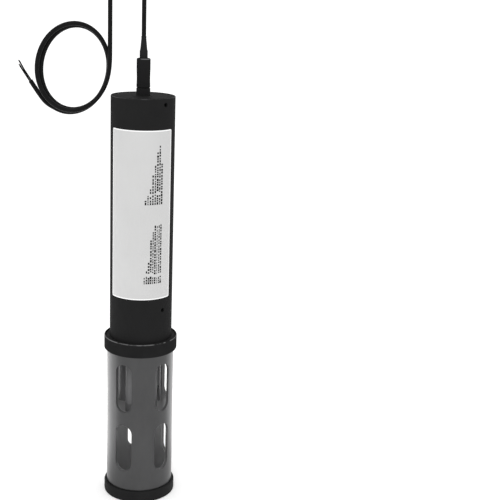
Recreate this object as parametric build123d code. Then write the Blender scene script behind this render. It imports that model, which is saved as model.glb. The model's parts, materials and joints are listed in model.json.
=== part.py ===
from build123d import *
import math
import os

# Multi-sensor water quality probe with its slotted guard, signal cable and cable saddle.
#
# Frame: millimetres, +Z up along the probe's axis, origin at the centre of the guard's foot.
# Azimuth is measured about +Z from the -Y direction, positive towards +X.

os.makedirs("parts", exist_ok=True)

# ---- driving dimensions ------------------------------------------------------------------
FIT = 0.05            # radial gap of parts that locate in each other
RUN = 0.3             # gap between faces of parts that move apart

# guard
GUARD_R = 27.05
GUARD_WALL = 2.4
GUARD_FOOT = 2.05     # underside of the tube, on the end ring's lip
GUARD_TOP = 129.2
GUARD_FLANGE_R = 27.85
GUARD_FLANGE_H = 1.3
SLOT_W = 14.8
SLOT_ROWS = ((26.0, 66.3), (77.5, 118.2))
N_SLOTS = 5
FIRST_AZ = -29.85     # azimuth of the first slot and of the first sensor
RING_R = 29.05
RING_H = 9.5
RING_LIP_R = 23.5
FLOOR_T = 2.0

# union nut at the guard's top
COLLAR_R = 29.4
COLLAR_Z = (126.0, 137.3)
COLLAR_LIP = 1.2
COLLAR_LIP_R = 27.35
COLLAR_BORE_R = 28.2
COLLAR_FILLET = 0.8
SLIP_T = 0.6

# sensor head
HEAD_FLANGE_R = 27.85
HEAD_Z = (GUARD_TOP + RUN, 136.6)
SPIGOT_R = 24.0
SPIGOT_Z = 125.5
NECK_TOP = 168.0
HEAD_PLATE_TOP = 150.0
HEAD_CAVITY_R = 17.0
SPIGOT_SEAL_Z = 127.4
THREAD_Z = (130.4, 132.4, 134.4)

# housing
BODY_R = 25.0
BODY_WALL = 3.0
BODY_Z = (132.0, 331.0)
LABEL_Z = (173.3, 307.3)
LABEL_AZ = (-63.5, 59.5)
LABEL_T = 0.2
LABEL_CORNER = 1.2
CAP_Z = (312.0, 331.0)
CAP_PLATE_Z = 321.0
CAP_SCREW_Z = 326.3
HEAD_SCREW_Z = 163.1
SCREW_AZ = 43.5
SCREW_R = 1.6
SCREW_IN = 19.0       # inner end of the set screws
SCREW_SUNK = 1.4      # how far their outer ends lie below the housing's face
SCREW_KEY_AF = 1.7
N_SCREWS = 2

# seals between the housing and its two end plugs
CAP_SEALS = (315.2, 318.8)
HEAD_SEALS = (141.0, 145.5)
SEAL_R = BODY_R - BODY_WALL - 0.87
SEAL_SEC = 0.77
GROOVE_DEPTH = 1.65
GROOVE_W = 2.2

# sensors
SENSOR_PCR = 12.5     # radius of the circle the sensors stand on
SENSOR_R = 5.5
SENSOR_TIP = 77.0
OXYGEN_TIP = 69.5
OXYGEN_CAP_H = 12.0
SHANK_R = 4.9
SHANK_TOP = 147.0
SHANK_SEAL_Z = 130.7
SHANK_SEAL_SEC = 0.4
SHANK_PLUG = (2.6, 3.0)         # radius and height of the contact stub on a shank
WRENCH_FLAT = 3.6               # how far the flats' cutters stand off the sensor's side
WRENCH_Z = 118.0
ELECTRODE_X = (-3.3, -1.1, 1.1, 3.3)
WINDOW_X = (-2.3, 2.3)
WINDOW_R = 1.6
MEMBRANE_R = 3.55
BULB_R = 3.3
TEMP_R = 2.5
TEMP_TIP = 88.0

# connector on the cap
FOOT_R = 5.4
FOOT_H = 5.8
FOOT_RECESS = (5.45, 0.95)      # radius and depth of the seal's recess in the cap
STUB_R = 4.45
SPIGOT_THREAD_R = 4.2
SOCKET_TOP = 353.1
SOCKET_BORE_R = 3.1
NUT_Z = (337.1, 359.3)
NUT_R = 5.35
NUT_WAIST_R = 5.15
NUT_WAIST_Z = 344.0
NUT_LIP_Z = 356.4
NUT_LIP_BORE = 3.45
SOCKET_FLOOR = 341.0
SOCKET_THREAD = (337.6, 338.6, 339.6)   # its three plain crests
STUB_LOW = 314.0
STUB_NUT = (12.0, 316.4, 320.4)         # across flats, lower and upper face
STUB_WASHER = (7.5, 320.42, 320.98)     # radius, lower and upper face
PLUG_LOW = 341.2
PLUG_FLANGE_R = 4.1
PIN_PCR = 1.7
PIN_R = 0.4
PIN_Z = (309.5, 347.0)
CONTACT_R = 0.35
CONTACT_Z = (347.65, 352.0)
N_PINS = 4
FIRST_PIN_AZ = 45.0
BOOT_Z = (359.7, 375.8)
BOOT_R = (3.1, 2.0)

# cable: runs up from the boot, over the saddle, and down into a hanging coil
CABLE_D = 3.5
CABLE_R = CABLE_D / 2
DROP_X = -25.5        # the hanging run
SADDLE_Z = 413.0
COIL_C = (-53.0, 350.0)
COIL_OUT = (27.5, 34.6)         # semi-axes of the largest turn's centreline
COIL_IN = (26.3, 32.8)          # and of the smallest turn's
COIL_TILT = 8.0                 # degrees that the oval's top leans to the right
COIL_LAYER = 3.7                # each turn hangs this far behind the one before it
COIL_TURNS = 2.25
TAIL = ((-71.5, 320.2), (-76.0, 323.8), (-79.9, 329.2), (-83.3, 334.4), (-86.4, 339.2))
CORE_R = 0.42
CORE_PITCH = 1.2                # the four cores stand in a square of this side
CORE_LENGTHS = ((13.8, 15.0), (16.6, 15.6))

# cable saddle
SADDLE_X = DROP_X / 2
CHEEK_IN = CABLE_R + 0.45
CHEEK_T = 1.8
BRIDGE_Z = (SADDLE_Z + 17.0, SADDLE_Z + 27.0)
EYE_Z = SADDLE_Z + 22.0
EYE_R = 3.0
RIVET_R = 1.0
RIVET_HEAD = (1.7, 0.7)         # radius and height

# electronics
BOARD_W = 34.0
BOARD_T = 1.6
BOARD_Z = (178.0, 296.0)
PLATE_Z = (172.0, 302.0)
PLATE_T = 2.0
ROD_PCR = 19.2
ROD_R = 1.25
ROD_Z = (161.0, 307.5)
ROD_AZ = SCREW_AZ + 30.0
N_RODS = 3
PLATE_R = 21.0
PLATE_BORE_R = 5.5
ROD_NUT = (4.0, 2.0)            # across flats and height
BRACKET_T = 1.2
HEADER_Z = (187.0, 290.5)
HEADER_X = (-6.0, 6.0)
N_LEADS = 4
LEAD_PITCH = 1.6
LEAD_Y = -3.6                   # the leads' plane in front of the main board


# ---- helpers -------------------------------------------------------------------------------
def cyl(r, z0, z1):
    """A cylinder on the probe's axis."""
    return Pos(0, 0, z0) * Cylinder(r, z1 - z0, align=(Align.CENTER, Align.CENTER, Align.MIN))


def tube(r_out, r_in, z0, z1):
    """A ring or tube on the probe's axis."""
    return cyl(r_out, z0, z1) - cyl(r_in, z0 - 1, z1 + 1)


def turned(profile):
    """A turned part from its (radius, height) outline."""
    pts = [(r, 0, z) for r, z in profile]
    return revolve(make_face(Polyline(*pts, close=True)), Axis.Z)


def o_ring(r_mid, r_sec, z):
    return Pos(0, 0, z) * Torus(r_mid, r_sec)


def at_az(az, r=0.0, z=0.0):
    """The place at azimuth az, with local -Y pointing outwards."""
    return Rot(0, 0, az) * Pos(0, -r, z)


def ring_of(shape, n, first_az):
    """n copies of a shape, spread evenly about the axis."""
    return [Rot(0, 0, first_az + 360.0 * i / n) * shape for i in range(n)]


def radial_rod(r, r0, r1, z):
    """A rod of radius r along local -Y from radius r0 to r1, at azimuth 0."""
    rod = Cylinder(r, r1 - r0, align=(Align.CENTER, Align.CENTER, Align.MIN))
    return Pos(0, -r0, z) * Rot(90, 0, 0) * rod


def block(x, y, z):
    """A box from three (low, high) pairs."""
    size = [b - a for a, b in (x, y, z)]
    mid = [(a + b) / 2 for a, b in (x, y, z)]
    return Pos(*mid) * Box(*size)


def hex_nut(af, bore_r, z0, z1):
    prism = extrude(RegularPolygon(af / 2, 6, major_radius=False), z1 - z0)
    return Pos(0, 0, z0) * prism - cyl(bore_r, z0 - 1, z1 + 1)


def pipe(points, radius, corner_radii):
    """A round tube along straight runs joined by tangent arcs."""
    path = FilletPolyline(*points, radius=corner_radii)
    start = Plane(origin=path @ 0, z_dir=path % 0)
    return sweep(start * Circle(radius), path=path)


def corner_radii(points, share=0.45):
    """The largest arcs that the runs on each side of every corner leave room for."""
    radii = []
    for a, b, c in zip(points, points[1:], points[2:]):
        before = Vector(*b) - Vector(*a)
        after = Vector(*c) - Vector(*b)
        half_turn = math.radians(before.get_angle(after)) / 2
        radii.append(share * min(before.length, after.length) / math.tan(half_turn))
    return radii


def write(name, shape):
    """One STEP file per node; a list is written as a group of separate solids."""
    parts = shape if isinstance(shape, list) else [shape]
    solids = [s for p in parts for s in p.solids()]
    body = Compound(label=name, children=solids) if len(solids) > 1 else solids[0]
    body.label = name
    export_step(body, f"parts/{name}.step")


# ---- guard ---------------------------------------------------------------------------------
def guard_tube():
    """Slotted tube with a thin flange at its top that the union nut pulls on."""
    r_in = GUARD_R - GUARD_WALL
    body = tube(GUARD_R, r_in, GUARD_FOOT, GUARD_TOP)
    body += tube(GUARD_FLANGE_R, r_in, GUARD_TOP - GUARD_FLANGE_H, GUARD_TOP)
    for z0, z1 in SLOT_ROWS:
        slot = Pos(0, 0, (z0 + z1) / 2) * Box(SLOT_W, 16, z1 - z0 - SLOT_W)
        for z in (z0 + SLOT_W / 2, z1 - SLOT_W / 2):
            slot += Pos(0, 0, z) * Rot(90, 0, 0) * Cylinder(SLOT_W / 2, 16)
        for cut in ring_of(Pos(0, -GUARD_R, 0) * slot, N_SLOTS, FIRST_AZ):
            body -= cut
    return body


def guard_end_ring():
    """Foot ring: a lip under the tube, and a socket around it."""
    ring = cyl(RING_R, 0, RING_H) - cyl(GUARD_R + FIT, GUARD_FOOT - FIT, RING_H + 1)
    ring -= cyl(RING_LIP_R, -1, RING_H)
    rim = ring.edges().filter_by(GeomType.CIRCLE).group_by(SortBy.RADIUS)[-1]
    return fillet(rim, 1.3)


def guard_floor():
    """Perforated disc that lets water through the foot."""
    top = GUARD_FOOT + FLOOR_T
    disc = cyl(GUARD_R - GUARD_WALL - FIT, GUARD_FOOT, top)
    hole = cyl(2.4, 0, top + 1)
    disc -= hole
    for count, r in ((6, 8.0), (12, 15.5)):
        for cut in ring_of(Pos(0, -r, 0) * hole, count, FIRST_AZ):
            disc -= cut
    return disc


def collar_nut():
    """Union nut: its lip pulls the guard's flange up against the sensor head."""
    z0, z1 = COLLAR_Z
    nut = cyl(COLLAR_R, z0, z1) - cyl(COLLAR_LIP_R, z0 - 1, z1)
    nut -= cyl(COLLAR_BORE_R, z0 + COLLAR_LIP, z1 + 1)
    outer = nut.edges().filter_by(GeomType.CIRCLE).group_by(SortBy.RADIUS)[-1]
    return fillet(outer, COLLAR_FILLET)


def slip_ring():
    z0 = COLLAR_Z[0] + COLLAR_LIP + FIT
    return tube(COLLAR_BORE_R - 0.1, GUARD_R + 0.12, z0, z0 + SLIP_T)


# ---- housing -------------------------------------------------------------------------------
def housing_tube():
    """Plain tube with radial holes near both ends for the locking screws."""
    body = tube(BODY_R, BODY_R - BODY_WALL, *BODY_Z)
    rim = body.edges().filter_by(GeomType.CIRCLE).group_by(Axis.Z)[-1]
    body = chamfer(rim, 0.35)
    for z in (HEAD_SCREW_Z, CAP_SCREW_Z):
        hole = radial_rod(SCREW_R + 0.15, BODY_R - BODY_WALL - 1, BODY_R + 1, z)
        for cut in ring_of(hole, N_SCREWS, SCREW_AZ):
            body -= cut
    return body


def label():
    """Thin film around the front of the housing, from edge to edge of LABEL_AZ."""
    r = BODY_R + 0.02
    az0, az1 = LABEL_AZ
    face = Plane.XY.offset(LABEL_Z[0]) * (Circle(r + LABEL_T) - Circle(r))
    shell = extrude(face, LABEL_Z[1] - LABEL_Z[0])
    reach = 2 * BODY_R
    edge = [(0, 0)]
    for i in range(5):
        az = math.radians(az0 + (az1 - az0) * i / 4)
        edge.append((reach * math.sin(az), -reach * math.cos(az)))
    wedge = extrude(Plane.XY.offset(LABEL_Z[0] - 1) * make_face(Polyline(*edge, close=True)),
                    LABEL_Z[1] - LABEL_Z[0] + 2)
    film = shell & wedge
    corners = [e for e in film.edges().filter_by(GeomType.LINE) if e.length < 2 * LABEL_T]
    return fillet(corners, LABEL_CORNER)


def seal_grooves(body, heights):
    for z in heights:
        body -= tube(BODY_R, BODY_R - BODY_WALL - GROOVE_DEPTH, z - GROOVE_W / 2, z + GROOVE_W / 2)
    return body


def top_cap():
    """End plug, flush with the housing's rim, with a bore for the bulkhead connector."""
    z0, z1 = CAP_Z
    body = cyl(BODY_R - BODY_WALL - FIT, z0, z1)
    rim = body.edges().group_by(Axis.Z)[-1]
    body = chamfer(rim, 0.35)
    body = seal_grooves(body, CAP_SEALS)
    body -= cyl(HEAD_CAVITY_R, z0 - 1, CAP_PLATE_Z)
    body -= cyl(STUB_R + FIT, z0, z1 + 1)
    body -= cyl(FOOT_RECESS[0], z1 - FOOT_RECESS[1], z1 + 1)
    hole = radial_rod(SCREW_R + FIT, SCREW_IN - 0.4, BODY_R, CAP_SCREW_Z)
    for cut in ring_of(hole, N_SCREWS, SCREW_AZ):
        body -= cut
    return body


def set_screws(z):
    """Socket set screws: they thread into the plug and lock in the tube's holes."""
    outer_end = BODY_R - SCREW_SUNK
    screw = radial_rod(SCREW_R, SCREW_IN, outer_end, z)
    key = extrude(RegularPolygon(SCREW_KEY_AF / 2, 6, major_radius=False), 2.0)
    screw -= Pos(0, -(outer_end - 1.65), z) * Rot(90, 0, 0) * key
    return ring_of(screw, N_SCREWS, SCREW_AZ)


def seals(heights):
    return [o_ring(SEAL_R, SEAL_SEC, z) for z in heights]


def sensor_head():
    """Carries the sensors below, the guard's thread outside and the housing above."""
    z0, z1 = HEAD_Z
    body = cyl(HEAD_FLANGE_R, z0, z1) - cyl(BODY_R + FIT, BODY_Z[0], z1 + 1)
    body += cyl(BODY_R - BODY_WALL - FIT, z0, NECK_TOP)
    body += cyl(SPIGOT_R, SPIGOT_Z, z0)
    body -= tube(HEAD_FLANGE_R, SPIGOT_R - 1.2, SPIGOT_SEAL_Z - 0.8, SPIGOT_SEAL_Z + 0.8)
    body = seal_grooves(body, HEAD_SEALS)
    body -= cyl(HEAD_CAVITY_R, HEAD_PLATE_TOP, NECK_TOP + 1)
    for cut in ring_of(Pos(0, -SENSOR_PCR, 0) * cyl(SHANK_R + FIT, 120, 160), N_SLOTS, FIRST_AZ):
        body -= cut
    body -= cyl(TEMP_R + FIT, 120, 160)
    hole = radial_rod(SCREW_R + FIT, SCREW_IN - 0.4, BODY_R, HEAD_SCREW_Z)
    for cut in ring_of(hole, N_SCREWS, SCREW_AZ):
        body -= cut
    rod_hole = Pos(0, -ROD_PCR, 0) * cyl(ROD_R + FIT, ROD_Z[0] - 0.5, NECK_TOP + 1)
    for cut in ring_of(rod_hole, N_RODS, ROD_AZ):
        body -= cut
    return body


def head_thread():
    """Cosmetic thread crests on the head's flange, kept clear of the nut's bore."""
    r = HEAD_FLANGE_R + 0.02
    return [tube(r + 0.12, r, z, z + 0.5) for z in THREAD_Z]


# ---- connector -----------------------------------------------------------------------------
def bulkhead_socket():
    """Connector shell: foot on the cap, threaded spigot above, stub through the cap."""
    cap_top = CAP_Z[1]
    foot_top = cap_top + FOOT_H
    body = cyl(FOOT_R, cap_top + 0.02, foot_top)
    body = fillet(body.edges().group_by(Axis.Z)[-1], 0.5)
    body += cyl(STUB_R, STUB_LOW, cap_top + 0.5)
    body += cyl(SPIGOT_THREAD_R - 0.2, foot_top - 1, SOCKET_TOP)
    for z in SOCKET_THREAD:
        body += cyl(SPIGOT_THREAD_R, z, z + 0.5)
    body -= cyl(SOCKET_BORE_R, SOCKET_FLOOR, SOCKET_TOP + 1)
    pin_hole = cyl(PIN_R + 0.02, STUB_LOW - 1, SOCKET_FLOOR + 1)
    for cut in ring_of(Pos(0, -PIN_PCR, 0) * pin_hole, N_PINS, FIRST_PIN_AZ):
        body -= cut
    return body


def socket_pins():
    pin = cyl(PIN_R, *PIN_Z)
    return ring_of(Pos(0, -PIN_PCR, 0) * pin, N_PINS, FIRST_PIN_AZ)


def coupling_nut():
    """Ring nut of the cable plug, a little waisted, with softened rims."""
    z0, z1 = NUT_Z
    soft = 0.45
    outer = turned([(0, z0), (NUT_R - soft, z0), (NUT_R, z0 + soft), (NUT_WAIST_R, NUT_WAIST_Z),
                    (NUT_R, z1 - 8.0), (NUT_R, z1 - soft), (NUT_R - soft, z1), (0, z1)])
    bore = cyl(SPIGOT_THREAD_R + 0.12, z0 - 1, NUT_LIP_Z)
    return outer - bore - cyl(NUT_LIP_BORE, z0, z1 + 1)


def coupling_washer():
    return tube(4.15, 3.25, NUT_LIP_Z - 0.9, NUT_LIP_Z - 0.05)


def plug_insert():
    """Body of the cable plug: barrel in the socket, flange under the ring nut's lip."""
    flange_z = NUT_LIP_Z - 3.0
    body = cyl(SOCKET_BORE_R - 0.1, PLUG_LOW, flange_z + 0.1)
    body += cyl(PLUG_FLANGE_R, flange_z, flange_z + 2.0)
    body += cyl(BOOT_R[0], flange_z + 1.9, BOOT_Z[0])
    pin_hole = cyl(PIN_R + 0.1, PLUG_LOW - 1, PIN_Z[1] + 0.6)
    contact_hole = cyl(CONTACT_R + 0.02, PIN_Z[1], CONTACT_Z[1])
    for hole in (pin_hole, contact_hole):
        for cut in ring_of(Pos(0, -PIN_PCR, 0) * hole, N_PINS, FIRST_PIN_AZ):
            body -= cut
    return body


def plug_contacts():
    """Crimped contacts moulded into the plug above the pin holes."""
    contact = cyl(CONTACT_R, *CONTACT_Z)
    return ring_of(Pos(0, -PIN_PCR, 0) * contact, N_PINS, FIRST_PIN_AZ)


def strain_relief_boot():
    """Moulded boot: a base ring, a taper and a small bead where the cable leaves it."""
    z0, z1 = BOOT_Z
    r0, r1 = BOOT_R
    profile = [(0, z0), (r0, z0), (r0, z0 + 5.2), (r0 - 0.35, z0 + 6.0),
               (r1 - 0.1, z1 - 1.2), (r1, z1 - 0.8), (r1, z1), (0, z1)]
    return turned(profile)


# ---- cable ---------------------------------------------------------------------------------
def cable_route():
    """Up from the boot, round the saddle in four corners, and down to the coil."""
    r = -DROP_X / 2
    reach = r / math.cos(math.radians(22.5))
    route = [(0.0, 0.0, BOOT_Z[1])]
    for angle in (22.5, 67.5, 112.5, 157.5):
        a = math.radians(angle)
        route.append((-r + reach * math.cos(a), 0.0, SADDLE_Z + reach * math.sin(a)))
    route.append((DROP_X, 0.0, COIL_C[1]))
    return route


def cable_run():
    route = cable_route()
    return pipe(route, CABLE_R, corner_radii(route))


def cable_coil():
    """Outer shape of the hanging turns: a leaning oval ring, as deep as its layers."""
    back = COIL_TURNS * COIL_LAYER
    depth = back + CABLE_D + 0.6
    grow = CABLE_R + 0.3
    face = Ellipse(COIL_OUT[0] + grow, COIL_OUT[1] + grow)
    face -= Ellipse(COIL_IN[0] - grow, COIL_IN[1] - grow)
    middle = (COIL_C[0], back / 2, COIL_C[1])
    lean = math.radians(COIL_TILT)
    place = Plane(origin=middle, x_dir=(math.cos(lean), 0, -math.sin(lean)), z_dir=(0, -1, 0))
    ring = extrude(place * face, depth / 2, both=True)
    return chamfer(ring.edges().filter_by(GeomType.ELLIPSE), 1.5)


def tail_route():
    """The free end, from inside the last turn to where its jacket is cut."""
    y = COIL_TURNS * COIL_LAYER
    return [(x, y, z) for x, z in TAIL]


def cable_tail():
    route = tail_route()
    return pipe(route, CABLE_R, corner_radii(route))


def stripped_wires():
    """Four insulated cores that stand out of the cut jacket, each cut at its own length."""
    end, before = (Vector(*p) for p in (tail_route()[-1], tail_route()[-2]))
    along = (end - before).normalized()
    across = Vector(-along.Z, 0, along.X) * -1
    cores = []
    for i, row in enumerate(CORE_LENGTHS):
        for j, length in enumerate(row):
            shift = across * ((i - 0.5) * CORE_PITCH) + Vector(0, (j - 0.5) * CORE_PITCH, 0)
            foot = end + shift + along * 0.02
            rod = Cylinder(CORE_R, length, align=(Align.CENTER, Align.CENTER, Align.MIN))
            cores.append(Plane(origin=foot, z_dir=along).location * rod)
    return cores


# ---- cable saddle --------------------------------------------------------------------------
def saddle_place():
    return Plane(origin=(SADDLE_X, 0, SADDLE_Z), x_dir=(1, 0, 0), z_dir=(0, -1, 0))


def saddle_block():
    """Half wheel with a round groove that keeps the cable's bend gentle."""
    r_mid = -SADDLE_X
    wheel = extrude(saddle_place() * Circle(r_mid - 0.3), CHEEK_IN - 0.03, both=True)
    groove = Pos(SADDLE_X, 0, SADDLE_Z) * Rot(90, 0, 0) * Torus(r_mid, CABLE_R + 0.15)
    upper = block((-60, 20), (-9, 9), (SADDLE_Z - 2.0, SADDLE_Z + 40))
    body = (wheel - groove) & upper
    for x, z in saddle_rivet_places():
        body -= Pos(x, 0, z) * Rot(90, 0, 0) * Cylinder(RIVET_R + FIT, 40)
    return body


def cheek_outline():
    disc = Circle(-SADDLE_X + 2.6)
    tongue = Pos(0, 14.0) * Rectangle(12.0, 28.0)
    below = Pos(0, -23.0) * Rectangle(60.0, 40.0)
    return fillet((disc + tongue - below).vertices(), 1.0)


def saddle_cheeks():
    """Two side plates, riveted through the block, that end in the hanging eye."""
    plates = []
    for side in (-1, 1):
        y0 = CHEEK_IN if side > 0 else -CHEEK_IN - CHEEK_T
        plate = extrude(saddle_place() * cheek_outline(), -CHEEK_T)
        plate = Pos(0, y0, 0) * plate
        for x, z in saddle_rivet_places():
            plate -= Pos(x, 0, z) * Rot(90, 0, 0) * Cylinder(RIVET_R + FIT, 40)
        plate -= Pos(SADDLE_X, 0, EYE_Z) * Rot(90, 0, 0) * Cylinder(EYE_R, 40)
        plates.append(plate)
    return plates


def saddle_rivet_places():
    return ((SADDLE_X - 5.5, SADDLE_Z + 1.0), (SADDLE_X + 5.5, SADDLE_Z + 1.0),
            (SADDLE_X, SADDLE_Z + 7.0))


def saddle_rivets():
    rivets = []
    half = CHEEK_IN + CHEEK_T
    head = Cylinder(*RIVET_HEAD)
    seat_z = half + 0.05 + RIVET_HEAD[1] / 2
    for x, z in saddle_rivet_places():
        pin = Cylinder(RIVET_R, 2 * half + 0.2) + Pos(0, 0, seat_z) * head
        pin += Pos(0, 0, -seat_z) * head
        rivets.append(Pos(x, 0, z) * Rot(90, 0, 0) * pin)
    return rivets


def saddle_bridge():
    """Spacer between the cheeks with the eye's bore."""
    y = CHEEK_IN - 0.03
    body = block((SADDLE_X - 5.5, SADDLE_X + 5.5), (-y, y), (BRIDGE_Z[0], BRIDGE_Z[1]))
    return body - Pos(SADDLE_X, 0, EYE_Z) * Rot(90, 0, 0) * Cylinder(EYE_R, 40)


# ---- sensors -------------------------------------------------------------------------------
def sensor_blank(tip):
    """Sensor body with its shank, on the probe's axis, ready to be placed."""
    body = cyl(SENSOR_R, tip, SPIGOT_Z - 0.02)
    body = chamfer(body.edges().group_by(Axis.Z)[-1], 0.5)
    body += cyl(SHANK_R, SPIGOT_Z - 1.0, SHANK_TOP)
    body -= tube(SHANK_R + 1, SHANK_R - 0.85, SHANK_SEAL_Z - 0.7, SHANK_SEAL_Z + 0.7)
    plug_r, plug_h = SHANK_PLUG
    body += cyl(plug_r, SHANK_TOP - 1, SHANK_TOP + plug_h)
    for x in (-SENSOR_R - WRENCH_FLAT, SENSOR_R + WRENCH_FLAT):
        body -= Pos(x, 0, WRENCH_Z) * Box(9.0, 12, 6)
    return body


def seat(shape, i):
    """Places a sensor in port i."""
    return at_az(FIRST_AZ + 360.0 * i / N_SLOTS, SENSOR_PCR) * shape


def ph_sensor():
    body = sensor_blank(SENSOR_TIP + 6)
    body -= cyl(4.3, SENSOR_TIP, SENSOR_TIP + 10)
    for az in (0, 90, 180, 270):
        prong = Rot(0, 0, az + 45) * block((-1.1, 1.1), (-5.4, -4.4), (SENSOR_TIP, SENSOR_TIP + 8))
        body += prong
    return seat(body, 1)


def ph_bulb():
    z = SENSOR_TIP + 4.6
    bulb = Pos(0, 0, z) * Sphere(BULB_R)
    bulb += cyl(1.9, z, SENSOR_TIP + 10)
    return seat(bulb, 1)


def oxygen_sensor():
    """The longest sensor: its foil hangs below the others."""
    return seat(sensor_blank(OXYGEN_TIP + OXYGEN_CAP_H), 0)


def oxygen_cap():
    """Screwed cap that holds the luminescent foil."""
    z0, z1 = OXYGEN_TIP, OXYGEN_TIP + OXYGEN_CAP_H - 0.03
    body = cyl(SENSOR_R, z0, z1) - cyl(3.4, z0 - 1, z0 + 0.6)
    body = chamfer(body.edges().filter_by(GeomType.CIRCLE).group_by(SortBy.RADIUS)[-1], 0.4)
    return seat(body, 0)


def conductivity_sensor():
    """Body with a cross flow channel over its four electrodes."""
    body = sensor_blank(SENSOR_TIP)
    body -= block((-8, 8), (-2.2, 2.2), (SENSOR_TIP - 1, SENSOR_TIP + 14))
    return seat(body, 2)


def conductivity_electrodes():
    pins = []
    for x in ELECTRODE_X:
        pins.append(seat(Pos(x, 0, 0) * cyl(0.7, SENSOR_TIP + 10, SENSOR_TIP + 13.98), 2))
    return pins


def turbidity_sensor():
    body = sensor_blank(SENSOR_TIP)
    for x in WINDOW_X:
        body -= Pos(x, 0, 0) * cyl(WINDOW_R + FIT, SENSOR_TIP - 1, SENSOR_TIP + 2)
    return seat(body, 3)


def turbidity_windows():
    panes = []
    for x in WINDOW_X:
        panes.append(seat(Pos(x, 0, 0) * cyl(WINDOW_R, SENSOR_TIP + 0.2, SENSOR_TIP + 1.95), 3))
    return panes


def ammonium_sensor():
    body = sensor_blank(SENSOR_TIP + 2)
    body -= cyl(MEMBRANE_R + FIT, SENSOR_TIP, SENSOR_TIP + 4)
    return seat(body, 4)


def ammonium_membrane():
    return seat(cyl(MEMBRANE_R, SENSOR_TIP + 2.6, SENSOR_TIP + 3.98), 4)


def temperature_probe():
    """Closed steel sheath in the middle of the head."""
    body = cyl(TEMP_R, TEMP_TIP + 1.5, SHANK_TOP) + Pos(0, 0, TEMP_TIP + 2.5) * Sphere(TEMP_R)
    return body


def sensor_seals():
    ring = o_ring(SHANK_R - 0.42, SHANK_SEAL_SEC, SHANK_SEAL_Z)
    return ring_of(Pos(0, -SENSOR_PCR, 0) * ring, N_SLOTS, FIRST_AZ)


# ---- electronics ---------------------------------------------------------------------------
def chassis_plates():
    """Discs at both ends of the chassis, each with a slot for the board's end."""
    plates = []
    for z in PLATE_Z:
        disc = cyl(PLATE_R, z, z + PLATE_T) - cyl(PLATE_BORE_R, z - 1, z + 5)
        hole = Pos(0, -ROD_PCR, 0) * cyl(ROD_R + FIT, z - 1, z + 5)
        for cut in ring_of(hole, N_RODS, ROD_AZ):
            disc -= cut
        plates.append(disc)
    return plates


def chassis_rods():
    rod = Pos(0, -ROD_PCR, 0) * cyl(ROD_R, *ROD_Z)
    return ring_of(rod, N_RODS, ROD_AZ)


def chassis_nuts():
    nuts = []
    af, high = ROD_NUT
    above_lower, above_upper = (z + PLATE_T + 0.02 for z in PLATE_Z)
    for z in (above_lower, PLATE_Z[1] - high - 0.02, above_upper):
        nut = Pos(0, -ROD_PCR, 0) * hex_nut(af, ROD_R + FIT, z, z + high)
        nuts += ring_of(nut, N_RODS, ROD_AZ)
    return nuts


def main_board():
    half = BOARD_T / 2
    board = block((-BOARD_W / 2, BOARD_W / 2), (-half, half), BOARD_Z)
    for z in (BOARD_Z[0] + 4, BOARD_Z[1] - 4):
        for x in (-BOARD_W / 2 + 4, BOARD_W / 2 - 4):
            board -= Pos(x, 0, z) * Rot(90, 0, 0) * Cylinder(1.1, 8)
    return board


def board_brackets():
    """Angle brackets that carry the board on the two plates."""
    brackets = []
    y0 = BOARD_T / 2 + 0.02
    for z_plate, z_dir in ((PLATE_Z[0] + PLATE_T + 0.02, 1), (PLATE_Z[1] - 0.02, -1)):
        for x in (-BOARD_W / 2 + 4, BOARD_W / 2 - 4):
            z_foot = sorted((z_plate, z_plate + z_dir * BRACKET_T))
            z_leg = sorted((z_plate, z_plate + z_dir * 13.0))
            angle = block((x - 2.5, x + 2.5), (y0, y0 + 8), z_foot)
            angle += block((x - 2.5, x + 2.5), (y0, y0 + BRACKET_T), z_leg)
            brackets.append(angle)
    return brackets


def board_parts():
    """Chips, capacitors and a relay can, on both faces of the main board."""
    y = BOARD_T / 2 + 0.02
    chips = ((-6, 232, 12, 12, 1.4), (7, 210, 7, 9, 1.6), (8, 258, 8, 6, 2.0), (-8, 196, 6, 5, 1.8),
             (-7, 262, 5, 9, 1.5), (5, 280, 10, 6, 3.0))
    parts = []
    for x, z, w, h, t in chips:
        parts.append(block((x - w / 2, x + w / 2), (-y - t, -y), (z - h / 2, z + h / 2)))
    for x, z, r, t in ((-9, 215, 3.2, 7.5), (9, 236, 2.6, 6.0), (-9, 247, 2.6, 6.0)):
        can = Cylinder(r, t, align=(Align.CENTER, Align.CENTER, Align.MIN))
        parts.append(Pos(x, y, z) * Rot(-90, 0, 0) * can)
    return parts


def board_sockets():
    """Pin headers at both ends of the main board."""
    y = BOARD_T / 2 + 0.02
    parts = []
    for z in HEADER_Z:
        header = block(HEADER_X, (-y - 5.5, -y), (z - 3, z + 3))
        header -= block((-5, 5), (-y - 6, -y - 1.2), (z - 2, z + 2))
        parts.append(header)
    return parts


def sensor_board():
    """Round board in the head's cavity that the sensors plug into."""
    z0 = SHANK_TOP + 5.0
    disc = cyl(HEAD_CAVITY_R - 0.2, z0, z0 + BOARD_T) - cyl(3.0, z0 - 1, z0 + 4)
    return disc


def sensor_sockets():
    z0 = SHANK_TOP + SHANK_PLUG[1] + 0.02
    can = Pos(0, -SENSOR_PCR, 0) * cyl(SHANK_PLUG[0] + 0.2, z0, z0 + 1.96)
    return ring_of(can, N_SLOTS, FIRST_AZ)


def signal_harness():
    """Leads from the round board up to the main board's lower header."""
    leads = []
    foot = SHANK_TOP + 5.0 + BOARD_T + 0.1
    end = HEADER_Z[0] - 3.1
    for i in range(N_LEADS):
        x = LEAD_PITCH * (i - 1.5)
        route = [(x, -7.0, foot), (x, -7.0, 166.0), (x * 0.6, LEAD_Y, 172.0), (x, LEAD_Y, end)]
        leads.append(pipe(route, 0.5, [3.0, 3.0]))
    return leads


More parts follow.
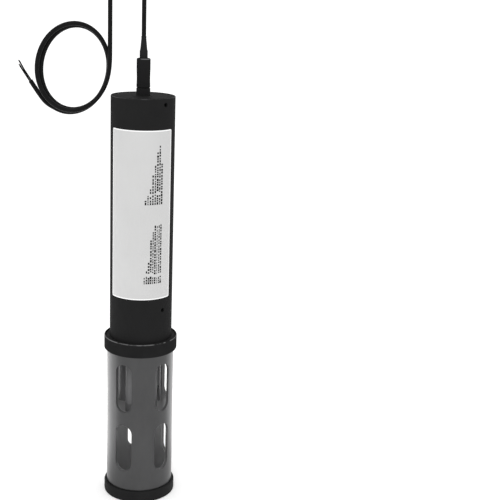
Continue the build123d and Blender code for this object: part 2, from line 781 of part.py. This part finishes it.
def cable_harness():
    """Leads from the upper header to the bulkhead connector's pins."""
    leads = []
    foot = HEADER_Z[1] + 3.1
    for i in range(N_LEADS):
        az = math.radians(FIRST_PIN_AZ + 360 * i / N_PINS)
        end = (PIN_PCR * math.sin(az), -PIN_PCR * math.cos(az), PIN_Z[0] - 0.1)
        x = LEAD_PITCH * (i - 1.5)
        route = [(x, LEAD_Y, foot), (x, LEAD_Y, 298.0), (end[0], end[1], 303.0), end]
        leads.append(pipe(route, 0.35, [2.0, 2.0]))
    return leads


def stub_nut():
    af, z0, z1 = STUB_NUT
    return hex_nut(af, STUB_R + FIT, z0, z1)


def stub_washer():
    r, z0, z1 = STUB_WASHER
    return tube(r, STUB_R + FIT, z0, z1)


# ---- write every node ----------------------------------------------------------------------
NODES = {
    "guard_tube": guard_tube,
    "guard_end_ring": guard_end_ring,
    "guard_floor": guard_floor,
    "slip_ring": slip_ring,
    "collar_nut": collar_nut,
    "sensor_head": sensor_head,
    "head_thread": head_thread,
    "head_seals": lambda: seals(HEAD_SEALS),
    "head_set_screws": lambda: set_screws(HEAD_SCREW_Z),
    "spigot_seal": lambda: o_ring(SPIGOT_R - 0.5, 0.65, SPIGOT_SEAL_Z),
    "housing_tube": housing_tube,
    "label": label,
    "top_cap": top_cap,
    "cap_seals": lambda: seals(CAP_SEALS),
    "cap_set_screws": lambda: set_screws(CAP_SCREW_Z),
    "bulkhead_socket": bulkhead_socket,
    "socket_pins": socket_pins,
    "socket_seal": lambda: o_ring(4.95, 0.42, CAP_Z[1] - 0.5),
    "stub_nut": stub_nut,
    "stub_washer": stub_washer,
    "coupling_nut": coupling_nut,
    "coupling_washer": coupling_washer,
    "plug_insert": plug_insert,
    "plug_contacts": plug_contacts,
    "strain_relief_boot": strain_relief_boot,
    "cable_run": cable_run,
    "cable_coil": cable_coil,
    "cable_tail": cable_tail,
    "stripped_wires": stripped_wires,
    "saddle_block": saddle_block,
    "saddle_cheeks": saddle_cheeks,
    "saddle_rivets": saddle_rivets,
    "saddle_bridge": saddle_bridge,
    "ph_sensor": ph_sensor,
    "ph_bulb": ph_bulb,
    "oxygen_sensor": oxygen_sensor,
    "oxygen_cap": oxygen_cap,
    "conductivity_sensor": conductivity_sensor,
    "conductivity_electrodes": conductivity_electrodes,
    "turbidity_sensor": turbidity_sensor,
    "turbidity_windows": turbidity_windows,
    "ammonium_sensor": ammonium_sensor,
    "ammonium_membrane": ammonium_membrane,
    "temperature_probe": temperature_probe,
    "sensor_seals": sensor_seals,
    "sensor_board": sensor_board,
    "sensor_sockets": sensor_sockets,
    "chassis_plates": chassis_plates,
    "chassis_rods": chassis_rods,
    "chassis_nuts": chassis_nuts,
    "main_board": main_board,
    "board_brackets": board_brackets,
    "board_parts": board_parts,
    "board_sockets": board_sockets,
    "signal_harness": signal_harness,
    "cable_harness": cable_harness,
}

for node, make in NODES.items():
    write(node, make())
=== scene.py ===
"""Looks of the water quality probe: camera, lights, materials, cable, label print and trims."""
import json
import math
import random

import bmesh
import bpy
from mathutils import Matrix, Vector


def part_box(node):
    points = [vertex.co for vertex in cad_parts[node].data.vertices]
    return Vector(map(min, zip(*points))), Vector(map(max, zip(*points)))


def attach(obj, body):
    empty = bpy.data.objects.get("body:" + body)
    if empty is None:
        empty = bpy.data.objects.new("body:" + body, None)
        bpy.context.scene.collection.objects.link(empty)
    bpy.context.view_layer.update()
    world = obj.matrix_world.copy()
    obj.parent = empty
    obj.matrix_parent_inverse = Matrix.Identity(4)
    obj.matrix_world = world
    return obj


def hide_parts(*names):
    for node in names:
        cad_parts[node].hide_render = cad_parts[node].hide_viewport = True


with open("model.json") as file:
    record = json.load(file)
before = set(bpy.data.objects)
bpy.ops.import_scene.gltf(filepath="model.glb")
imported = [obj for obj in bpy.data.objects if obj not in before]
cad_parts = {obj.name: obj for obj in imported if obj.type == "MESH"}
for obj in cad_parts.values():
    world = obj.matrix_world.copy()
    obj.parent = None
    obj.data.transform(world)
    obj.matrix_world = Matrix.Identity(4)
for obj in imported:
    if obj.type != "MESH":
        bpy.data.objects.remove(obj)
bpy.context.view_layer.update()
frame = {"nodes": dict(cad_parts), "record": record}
NODES = frame["nodes"]
MM = 0.001

# ---- places taken from the frame ---------------------------------------------------------
tube_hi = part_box("housing_tube")[1]
label_lo, label_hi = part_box("label")
boot_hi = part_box("strain_relief_boot")[1]
body_r = tube_hi.x
label_r = -label_lo.y
GUARD_R = 0.02705      # the guard tube's outside below its flange
GUARD_WALL = 0.0024
LABEL_EDGE_AZ = (math.asin(label_lo.x / label_r), math.asin(label_hi.x / label_r))


# ---- node tree helpers -------------------------------------------------------------------
class Tree:
    """Short calls for building a material's node tree."""

    def __init__(self, name):
        self.mat = bpy.data.materials.new(name)
        self.mat.use_nodes = True
        self.nodes = self.mat.node_tree.nodes
        self.links = self.mat.node_tree.links
        self.bsdf = self.nodes["Principled BSDF"]

    def add(self, kind, inputs=(), **settings):
        node = self.nodes.new(kind)
        for key, value in settings.items():
            setattr(node, key, value)
        for key, value in dict(inputs).items():
            self.put(node.inputs[key], value)
        return node

    def put(self, socket, value):
        if isinstance(value, bpy.types.NodeSocket):
            self.links.new(value, socket)
        else:
            socket.default_value = value

    def set(self, **values):
        for key, value in values.items():
            self.put(self.bsdf.inputs[key.replace("_", " ")], value)

    def where(self, scale=(1, 1, 1)):
        """Object coordinates, which are the row frame's, stretched by a scale."""
        coord = self.add("ShaderNodeTexCoord")
        mapping = self.add("ShaderNodeMapping", {"Vector": coord.outputs["Object"]})
        mapping.inputs["Scale"].default_value = scale
        return mapping.outputs["Vector"]

    def noise(self, vector, scale, detail=3.0, rough=0.55):
        inputs = {"Vector": vector, "Scale": scale, "Detail": detail, "Roughness": rough}
        return self.add("ShaderNodeTexNoise", inputs).outputs["Fac"]

    def ramp(self, fac, stops):
        node = self.add("ShaderNodeValToRGB", {"Fac": fac})
        first, last = node.color_ramp.elements[0], node.color_ramp.elements[-1]
        for element, (place, value) in zip((first, last), (stops[0], stops[-1])):
            element.position = place
            element.color = tuple(value) + (1,) if isinstance(value, tuple) else (value,) * 3 + (1,)
        for place, value in stops[1:-1]:
            element = node.color_ramp.elements.new(place)
            element.color = tuple(value) + (1,) if isinstance(value, tuple) else (value,) * 3 + (1,)
        return node.outputs["Color"]

    def math(self, operation, a, b=0.0):
        node = self.add("ShaderNodeMath", operation=operation)
        self.put(node.inputs[0], a)
        self.put(node.inputs[1], b)
        return node.outputs[0]

    def mix(self, fac, a, b):
        node = self.add("ShaderNodeMix", data_type="RGBA")
        self.put(node.inputs["Factor"], fac)
        self.put(node.inputs["A"], a)
        self.put(node.inputs["B"], b)
        return node.outputs["Result"]

    def step(self, value, low, high):
        """0 below low, 1 above high and smooth between."""
        inputs = {"Value": value, "From Min": low, "From Max": high}
        node = self.add("ShaderNodeMapRange", inputs, interpolation_type="SMOOTHSTEP")
        return node.outputs["Result"]

    def xyz(self):
        node = self.add("ShaderNodeSeparateXYZ", {"Vector": self.where()})
        return node.outputs

    def radius_step(self, low, high):
        """0 nearer to the probe's axis than low, 1 farther than high."""
        x, y, _ = self.xyz()
        squares = self.math("ADD", self.math("MULTIPLY", x, x), self.math("MULTIPLY", y, y))
        return self.step(self.math("SQRT", squares), low, high)

    def edge_band(self, z0, z1, azimuths, width):
        """1 within a width of the sides of a wrapped rectangle, and 0 inside it."""
        x, y, z = self.xyz()
        azimuth = self.math("ARCTAN2", x, self.math("MULTIPLY", y, -1.0))
        low, high = azimuths
        around = (self.math("SUBTRACT", azimuth, low), self.math("SUBTRACT", high, azimuth))
        sides = self.math("MULTIPLY", self.math("MINIMUM", *around), label_r)
        ends = self.math("MINIMUM", self.math("SUBTRACT", z, z0), self.math("SUBTRACT", z1, z))
        inset = self.math("MINIMUM", sides, ends)
        return self.math("SUBTRACT", 1.0, self.step(inset, width * 0.8, width))

    def bump(self, height, strength, distance):
        inputs = {"Height": height, "Strength": strength, "Distance": distance}
        node = self.add("ShaderNodeBump", inputs)
        self.links.new(node.outputs["Normal"], self.bsdf.inputs["Normal"])


def grey(value, tint=0.0):
    """A grey with a little blue added."""
    return (value, value, value * (1 + tint))


def moulded(name, dark, light, rough=(0.42, 0.55), grain=2600, depth=0.00004, specular=0.4):
    """Moulded or cast plastic: mottled colour, uneven gloss and a fine eroded grain."""
    t = Tree(name)
    at = t.where()
    cloud = t.noise(at, 55, 4)
    t.set(Base_Color=t.ramp(cloud, [(0.3, grey(dark, 0.02)), (0.7, grey(light, 0.02))]))
    t.set(Roughness=t.ramp(t.noise(at, 140, 3), [(0.3, rough[0]), (0.7, rough[1])]))
    t.set(Specular_IOR_Level=specular)
    t.bump(t.noise(at, grain, 2), 0.25, depth)
    return t.mat


def metal(name, colour, rough=(0.25, 0.4)):
    """Turned or drawn metal with fine lines one way."""
    t = Tree(name)
    streaks = t.noise(t.where((1, 1, 30)), 260, 3)
    low = tuple(c * 0.86 for c in colour)
    t.set(Base_Color=t.ramp(streaks, [(0.3, low), (0.7, colour)]), Metallic=1.0)
    t.set(Roughness=t.ramp(t.noise(t.where(), 90, 3), [(0.3, rough[0]), (0.7, rough[1])]))
    t.bump(streaks, 0.3, 0.00003)
    return t.mat


# ---- materials ---------------------------------------------------------------------------
def housing_material():
    """Black housing: dull, with faint lengthwise draw lines and a painted highlight in patches on
    its upper rim.
    """
    t = Tree("housing_black")
    draw = t.noise(t.where((1, 1, 0.03)), 900, 3)
    mottle_and_highlight = t.noise(t.where((1, 1, 0.6)), 40, 5, 0.6)
    plain = t.ramp(mottle_and_highlight, [(0.3, (0.0135, 0.0135, 0.0137)), (0.75, (0.0175, 0.0175, 0.0177))])
    z = t.xyz()[2]
    # Painted highlight: patches of the upper rim's chamfer are painted paler, standing in for the
    # light that edge catches.
    rim = t.math("MULTIPLY", t.step(z, tube_hi.z - 0.0006, tube_hi.z - 0.0002),
                 t.radius_step(body_r - 0.0006, body_r - 0.0002))
    paler_tone = t.math("MULTIPLY", rim, t.step(t.noise(t.where(), 60, 3), 0.42, 0.6))
    t.set(Base_Color=t.mix(paler_tone, plain, (0.075, 0.075, 0.077, 1)))
    t.set(Roughness=t.ramp(mottle_and_highlight, [(0.25, 0.64), (0.75, 0.76)]), Specular_IOR_Level=0.022)
    t.bump(draw, 0.18, 0.00003)
    return t.mat


def guard_material():
    """Grey guard tube: satin skin outside, matt inside, dull where cut; the inside is painted paler
    than the skin and palest by the foot, as painted light against the shade in the tube.
    """
    t = Tree("guard_grey")
    draw = t.noise(t.where((1, 1, 0.02)), 1200, 3)
    cloud = t.noise(t.where((1, 1, 0.5)), 60, 4)
    outside = t.radius_step(GUARD_R - 0.0004, GUARD_R - 0.0001)
    cut = t.radius_step(GUARD_R - GUARD_WALL + 0.0001, GUARD_R - GUARD_WALL + 0.0003)
    skin = t.ramp(cloud, [(0.3, (0.068, 0.068, 0.069)), (0.7, (0.081, 0.081, 0.082))])
    # Painted light: the inner wall is paler than the skin to lift the shade inside the tube, and
    # palest towards the foot, where that shade is deepest.
    upper = t.ramp(cloud, [(0.3, (0.18, 0.18, 0.183)), (0.7, (0.21, 0.21, 0.213))])
    z = t.xyz()[2]
    inside = t.mix(t.step(z, 0.015, 0.08), (0.31, 0.31, 0.314, 1), upper)
    paler_tone = t.mix(cut, inside, (0.085, 0.085, 0.086, 1))
    t.set(Base_Color=t.mix(outside, paler_tone, skin), Metallic=outside)
    t.set(Roughness=t.ramp(cloud, [(0.3, 0.29), (0.7, 0.35)]))
    t.bump(draw, 0.12, 0.00003)
    return t.mat


def painted_rim_black_material(name, radius, top, patches):
    """Black moulded nut whose upper rim carries a painted highlight, paler in patches, this many to
    a metre.
    """
    t = Tree(name)
    at = t.where()
    cloud = t.noise(at, 55, 4)
    plain = t.ramp(cloud, [(0.3, grey(0.012, 0.02)), (0.7, grey(0.016, 0.02))])
    z = t.xyz()[2]
    # Painted highlight: patches of the upper outer rim are painted paler, standing in for the light
    # the rounded edge catches.
    rim = t.math("MULTIPLY", t.radius_step(radius - 0.0007, radius - 0.0003),
                 t.step(z, top - 0.0009, top - 0.0004))
    mottle_and_highlight = t.math("MULTIPLY", rim, t.step(t.noise(at, patches, 3), 0.38, 0.56))
    t.set(Base_Color=t.mix(mottle_and_highlight, plain, (0.13, 0.13, 0.132, 1)))
    t.set(Roughness=t.ramp(t.noise(at, 140, 3), [(0.3, 0.68), (0.7, 0.78)]), Specular_IOR_Level=0.01)
    t.bump(t.noise(at, 2600, 2), 0.25, 0.00004)
    return t.mat


def label_material():
    """Light grey printed film with fine fibre, a slight unevenness and a bare white edge."""
    t = Tree("label_film")
    at = t.where()
    tone = t.noise(at, 35, 4)
    film = t.ramp(tone, [(0.3, (0.535, 0.535, 0.533)), (0.7, (0.560, 0.560, 0.558))])
    edge = t.edge_band(label_lo.z, label_hi.z, LABEL_EDGE_AZ, 0.0009)
    t.set(Base_Color=t.mix(edge, film, (0.9, 0.9, 0.9, 1)))
    t.set(Roughness=t.ramp(t.noise(at, 240, 3), [(0.3, 0.5), (0.7, 0.62)]), Specular_IOR_Level=0.3)
    t.bump(t.noise(at, 1800, 3), 0.12, 0.00002)
    return t.mat


def jacket_material():
    """Cable jacket: satin black, mottled and finely grained."""
    t = Tree("cable_jacket")
    at = t.where()
    cloud = t.noise(at, 220, 4)
    t.set(Base_Color=t.ramp(cloud, [(0.3, (0.006, 0.006, 0.0062)), (0.75, (0.010, 0.010, 0.0104))]))
    t.set(Roughness=t.ramp(t.noise(at, 500, 3), [(0.3, 0.3), (0.7, 0.4)]), Specular_IOR_Level=0.05)
    t.bump(t.noise(at, 3200, 2), 0.25, 0.00003)
    return t.mat


def glass_material(name, tint, rough=0.05):
    t = Tree(name)
    smear = t.noise(t.where(), 300, 3)
    t.set(Base_Color=tuple(tint) + (1,), IOR=1.5, Transmission_Weight=1.0)
    t.set(Roughness=t.ramp(smear, [(0.3, rough), (0.7, rough + 0.06)]))
    return t.mat


def print_material():
    """Matt printing ink, a little uneven in density."""
    t = Tree("label_ink")
    ink = t.noise(t.where(), 900, 3)
    t.set(Base_Color=t.ramp(ink, [(0.3, (0.001, 0.001, 0.0011)), (0.7, (0.004, 0.004, 0.0042))]))
    t.set(Roughness=0.7, Specular_IOR_Level=0.1)
    return t.mat


MATERIALS = {
    "housing_black": housing_material(),
    "guard_plastic": guard_material(),
    "black_plastic": moulded("black_plastic", 0.012, 0.016, (0.55, 0.66), specular=0.04),
    "label_film": label_material(),
    "black_rubber": moulded("black_rubber", 0.012, 0.018, (0.6, 0.75), 1800, 0.00005, 0.05),
    "cable_jacket": jacket_material(),
    "stainless": metal("stainless", (0.62, 0.62, 0.61), (0.34, 0.46)),
    "titanium": moulded("titanium", 0.17, 0.2, (0.5, 0.6), specular=0.3),
    "dark_steel": metal("dark_steel", (0.012, 0.012, 0.013), (0.5, 0.6)),
    "sensor_grey": moulded("sensor_grey", 0.135, 0.155, (0.5, 0.6), specular=0.2),
    "bulb_glass": glass_material("bulb_glass", (0.86, 0.92, 0.95)),
    "window_glass": glass_material("window_glass", (0.55, 0.62, 0.7), 0.03),
    "foil_cap": moulded("foil_cap", 0.10, 0.13, (0.5, 0.62), specular=0.2),
    "membrane": moulded("membrane", 0.42, 0.5, (0.5, 0.6)),
    "gold_contact": metal("gold_contact", (0.83, 0.62, 0.28), (0.2, 0.3)),
    "board_green": moulded("board_green", 0.05, 0.07, (0.25, 0.35), 1500),
    "component_black": moulded("component_black", 0.02, 0.03, (0.45, 0.6)),
    "header_white": moulded("header_white", 0.6, 0.68, (0.4, 0.5)),
    "wire_insulation": moulded("wire_insulation", 0.003, 0.005, (0.5, 0.6), specular=0.03),
}

slot_of = {}
for part in frame["record"]["subparts"]:
    slot_of[part["node"]] = part["material_slot"]
for node, obj in NODES.items():
    obj.data.materials.clear()
    obj.data.materials.append(MATERIALS[slot_of[node]])
# Both nuts get the painted highlight on their upper rim.
for nut, patches in (("collar_nut", 130), ("coupling_nut", 300)):
    reach, _, nut_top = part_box(nut)[1]
    NODES[nut].data.materials[0] = painted_rim_black_material(f"painted_rim_{nut}", reach, nut_top, patches)


def mesh_piece(name, bm, material, body):
    """Makes an object of a bmesh, with its material, riding on a body."""
    mesh = bpy.data.meshes.new(name)
    bm.to_mesh(mesh)
    bm.free()
    mesh.materials.append(MATERIALS[material] if isinstance(material, str) else material)
    piece = bpy.data.objects.new(name, mesh)
    bpy.context.scene.collection.objects.link(piece)
    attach(piece, body)
    return piece


# ---- cable -------------------------------------------------------------------------------
CABLE_D = 3.5
HANG_X = -25.5
SADDLE_Z = 413.0
LAYER = 3.7           # each turn hangs this far behind the one before it
COIL_TURNS = 2.25
COIL_STEPS = 36
# the oval at the start of each turn: half width, half height, middle x, middle z, lean in degrees
OVALS = (
    (28.8, 35.2, -54.3, 353.2, -4.0),
    (25.8, 32.5, -51.9, 350.6, -7.5),
    (27.1, 34.1, -53.7, 349.9, -11.0),
    (28.8, 35.4, -56.5, 349.2, -12.0),
)
# where a turn lies wider or tighter: turns so far, turns it reaches each way, how far outwards
SWELLS = ((0.36, 0.35, 1.0), (1.6, 0.4, -1.2), (2.25, 0.25, 0.8))
TAIL = ((-71.5, 320.2), (-76.0, 323.8), (-79.9, 329.2), (-83.3, 334.4), (-86.4, 339.2))
CORE_R = 0.5          # a little over the CAD cores', so that four such thin cores read as dark
CORE_PITCH = 1.2      # the four cores stand in a square of this side
CORE_LENGTHS = ((13.8, 15.0), (16.6, 15.6))
CORE_RISE = 1.3       # how far the two upper cores' free ends bend upwards
CORE_CLOSING = 0.2    # the share of their pitch by which the free ends draw together
COPPER_R = (0.24, 0.22)
COPPER_DEPTH = 0.12


def coil_point(turns):
    """A point of the hanging coil, so many turns after its right side, downwards first."""
    row = min(int(turns), len(OVALS) - 2)
    share = turns - row
    oval = [a + (b - a) * share for a, b in zip(OVALS[row], OVALS[row + 1])]
    half_wide, half_high, middle_x, middle_z, lean = oval
    for middle, reach, outwards in SWELLS:
        if abs(turns - middle) < reach:
            swell = outwards * math.cos(math.pi * (turns - middle) / (2 * reach)) ** 2
            half_wide += swell
            half_high += swell
    angle = 2 * math.pi * turns
    across, up = half_wide * math.cos(angle), -half_high * math.sin(angle)
    turn = math.radians(lean)
    x = middle_x + across * math.cos(turn) - up * math.sin(turn)
    z = middle_z + across * math.sin(turn) + up * math.cos(turn)
    return (x, LAYER * turns, z)


def cable_points():
    """Up from the boot, round the saddle, down, round the hanging coil and out."""
    points = [(0, 0, boot_hi.z / MM), (0, 0, 397.0)]
    r = -HANG_X / 2
    reach = r / math.cos(math.radians(22.5))
    for angle in (22.5, 67.5, 112.5, 157.5):
        a = math.radians(angle)
        points.append((-r + reach * math.cos(a), 0, SADDLE_Z + reach * math.sin(a)))
    points += [(HANG_X, 0, 397.0), (HANG_X, 0, 372.0)]
    for i in range(COIL_STEPS + 1):
        points.append(coil_point(COIL_TURNS * i / COIL_STEPS))
    points += [(x, LAYER * COIL_TURNS, z) for x, z in TAIL]
    return points


def nurbs_tube(name, points, radius, material):
    """A round cable along a smooth line with these control points, in millimetres."""
    curve = bpy.data.curves.new(name, "CURVE")
    curve.dimensions = "3D"
    curve.resolution_u = 12
    curve.bevel_depth = radius * MM
    curve.bevel_resolution = 6
    curve.use_fill_caps = True
    spline = curve.splines.new("NURBS")
    spline.points.add(len(points) - 1)
    for point, co in zip(spline.points, points):
        point.co = (co[0] * MM, co[1] * MM, co[2] * MM, 1)
    spline.order_u = 3
    spline.use_endpoint_u = True
    curve.materials.append(MATERIALS[material])
    piece = bpy.data.objects.new(name, curve)
    bpy.context.scene.collection.objects.link(piece)
    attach(piece, "plug")
    return piece


def stripped_cores(end, along):
    """Four cores that stand out of the cut jacket, with the bare copper of their cut ends."""
    cores = []
    across = Vector((along.z, 0, -along.x))
    copper = bmesh.new()
    for i, row in enumerate(CORE_LENGTHS):
        for j, length in enumerate(row):
            side = Vector((0, (j - 0.5) * CORE_PITCH, 0)) + across * ((i - 0.5) * CORE_PITCH)
            spread = side * -CORE_CLOSING
            foot = end + side
            tip = foot + along * length + spread + Vector((0, 0, CORE_RISE * i))
            third = foot + along * (length / 3)
            bend = foot + along * (length * 2 / 3) + spread * 0.3
            core = nurbs_tube(f"core_{len(cores) + 1}", [foot, third, bend, tip], CORE_R,
                              "wire_insulation")
            cores.append(core)
            facing = (tip - bend).to_track_quat("Z", "Y").to_matrix().to_4x4()
            place = Matrix.Translation(tip * MM) @ facing
            bmesh.ops.create_cone(copper, cap_ends=True, segments=16, radius1=COPPER_R[0] * MM,
                                  radius2=COPPER_R[1] * MM, depth=COPPER_DEPTH * MM, matrix=place)
    copper_ends = mesh_piece("core_copper", copper, "gold_contact", "plug")
    return cores + [copper_ends]


route = cable_points()
cable = nurbs_tube("signal_cable", route, CABLE_D / 2, "cable_jacket")
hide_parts("cable_run", "cable_coil", "cable_tail")
jacket_end = Vector(route[-1])
core_pieces = stripped_cores(jacket_end, (jacket_end - Vector(route[-2])).normalized())
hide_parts("stripped_wires")


# ---- label print -------------------------------------------------------------------------
# Two blocks of greeked lines, read from the side. Each has its lowest height in millimetres, the
# first line's azimuth and the lines' pitch in degrees, the height of a blank row above its base,
# and for each line its length in millimetres and how bold it is.
PRINT_BLOCKS = (
    (249.8, 6.0, 4.35, 7.2, ((3.9, 1.0), (12.1, 0.7), (12.5, 0.8), (23.4, 0.9), (31.1, 0.8),
                             (41.9, 1.1), (46.5, 0.85), (34.2, 1.1))),
    (186.4, 5.2, 3.85, 5.4, ((7.3, 0.65), (12.2, 0.7), (18.7, 1.1), (37.2, 1.0), (41.9, 0.65),
                             (47.6, 1.0), (47.6, 0.45), (47.6, 0.7), (47.6, 0.95))),
)
STROKE_WIDE = 1.35     # size of the boldest strokes around the label
LETTERS = (0.9, 2.1)  # the shortest and longest stroke along a line
LETTER_GAP = 0.5
WORD_GAP = 1.05
BLANK_ROW = 1.3
INK_LIFT = 0.00002    # how far the ink stands off the label, in metres
INK_THICK = 0.00003


def label_print():
    """Lines of short strokes that stand for small print and spell nothing."""
    rng = random.Random(7)
    bm = bmesh.new()
    r = label_r + INK_LIFT
    for base, first, pitch, blank, lines in PRINT_BLOCKS:
        for i, (length, weight) in enumerate(lines):
            z = base
            while z < base + length:
                letters = rng.randint(1, 5)
                for _ in range(letters):
                    letter = rng.uniform(*LETTERS)
                    if z + letter > base + length:
                        break
                    wide = STROKE_WIDE * weight * rng.uniform(0.8, 1.1)
                    if not base + blank < z < base + blank + BLANK_ROW:
                        add_stroke(bm, first + pitch * i, wide, z, z + letter, r)
                    z += letter + LETTER_GAP
                z += WORD_GAP - LETTER_GAP
    return mesh_piece("label_print", bm, print_material(), "probe")


def add_stroke(bm, az, tall, z0, z1, r):
    """One raised rectangle of ink, tall around the label and z1 - z0 along it."""
    half = tall * MM / 2 / r
    middle = math.radians(az)
    corners = []
    for radius in (r, r + INK_THICK):
        for a, z in ((-half, z0), (half, z0), (half, z1), (-half, z1)):
            x, y = radius * math.sin(middle + a), -radius * math.cos(middle + a)
            corners.append(bm.verts.new((x, y, z * MM)))
    c = corners
    bm.faces.new((c[4], c[5], c[6], c[7]))
    bm.faces.new((c[3], c[2], c[1], c[0]))
    for i in range(4):
        j = (i + 1) % 4
        bm.faces.new((c[i], c[j], c[4 + j], c[4 + i]))


label_print()


# ---- stage, lights and camera ------------------------------------------------------------
FLOOR_HALF = 30.0     # metres
SPOT_HEIGHT = 0.85


def floor():
    """A wide white table that reaches the horizon."""
    bm = bmesh.new()
    half = FLOOR_HALF
    corners = [(-half, -half), (half, -half), (half, half), (-half, half)]
    bm.faces.new([bm.verts.new((x, y, 0)) for x, y in corners])
    mesh = bpy.data.meshes.new("floor")
    bm.to_mesh(mesh)
    bm.free()
    t = Tree("floor")
    t.set(Base_Color=(0.88, 0.88, 0.88, 1), Roughness=0.9, Specular_IOR_Level=0.1)
    t.set(Emission_Color=(1, 1, 1, 1), Emission_Strength=0.22)
    mesh.materials.append(t.mat)
    obj = bpy.data.objects.new("floor", mesh)
    bpy.context.scene.collection.objects.link(obj)


def add_light(name, data, place, aim):
    light = bpy.data.objects.new(name, data)
    light.location = place
    direction = Vector(aim) - Vector(place)
    light.rotation_euler = direction.to_track_quat("-Z", "Y").to_euler()
    bpy.context.scene.collection.objects.link(light)


def floor_spot(name, x, y, power):
    """Lights a patch of the table behind the probe's side; the guard mirrors it as a band."""
    data = bpy.data.lights.new(name, "SPOT")
    data.energy = power
    data.spot_size = math.radians(30)
    data.spot_blend = 0.6
    data.shadow_soft_size = 0.02
    add_light(name, data, (x, y, SPOT_HEIGHT), (x, y, 0))


def lights():
    """A white room, a soft key from above the camera and two spots on the table."""
    world = bpy.data.worlds.new("studio")
    bpy.context.scene.world = world
    world.use_nodes = True
    background = world.node_tree.nodes["Background"]
    background.inputs["Color"].default_value = (1, 1, 1, 1)
    background.inputs["Strength"].default_value = 1.0
    key = bpy.data.lights.new("key", "SUN")
    key.energy = 0.55
    key.angle = math.radians(15)
    add_light("key", key, (-0.15, -0.8, 1.2), (0, 0, 0.2))
    floor_spot("spot_left", -0.22, 0.15, 45)
    floor_spot("spot_right", 0.195, 0.22, 30)


def camera():
    """Stands before the probe, a little above its top, and looks down and right of it."""
    distance, height = 0.8498, 0.4353
    yaw, pitch, roll = math.radians(5.854), math.radians(14.87), math.radians(2.133)
    data = bpy.data.cameras.new("camera")
    data.sensor_width = 36
    data.lens = 78.81
    cam = bpy.data.objects.new("camera", data)
    turn = Matrix.Rotation(-yaw, 4, "Z") @ Matrix.Rotation(math.pi / 2 - pitch, 4, "X")
    turn = turn @ Matrix.Rotation(roll, 4, "Z")
    cam.matrix_world = Matrix.Translation((0, -distance, height)) @ turn
    bpy.context.scene.collection.objects.link(cam)
    bpy.context.scene.camera = cam


floor()
lights()
camera()
bpy.context.scene.view_settings.view_transform = "Standard"
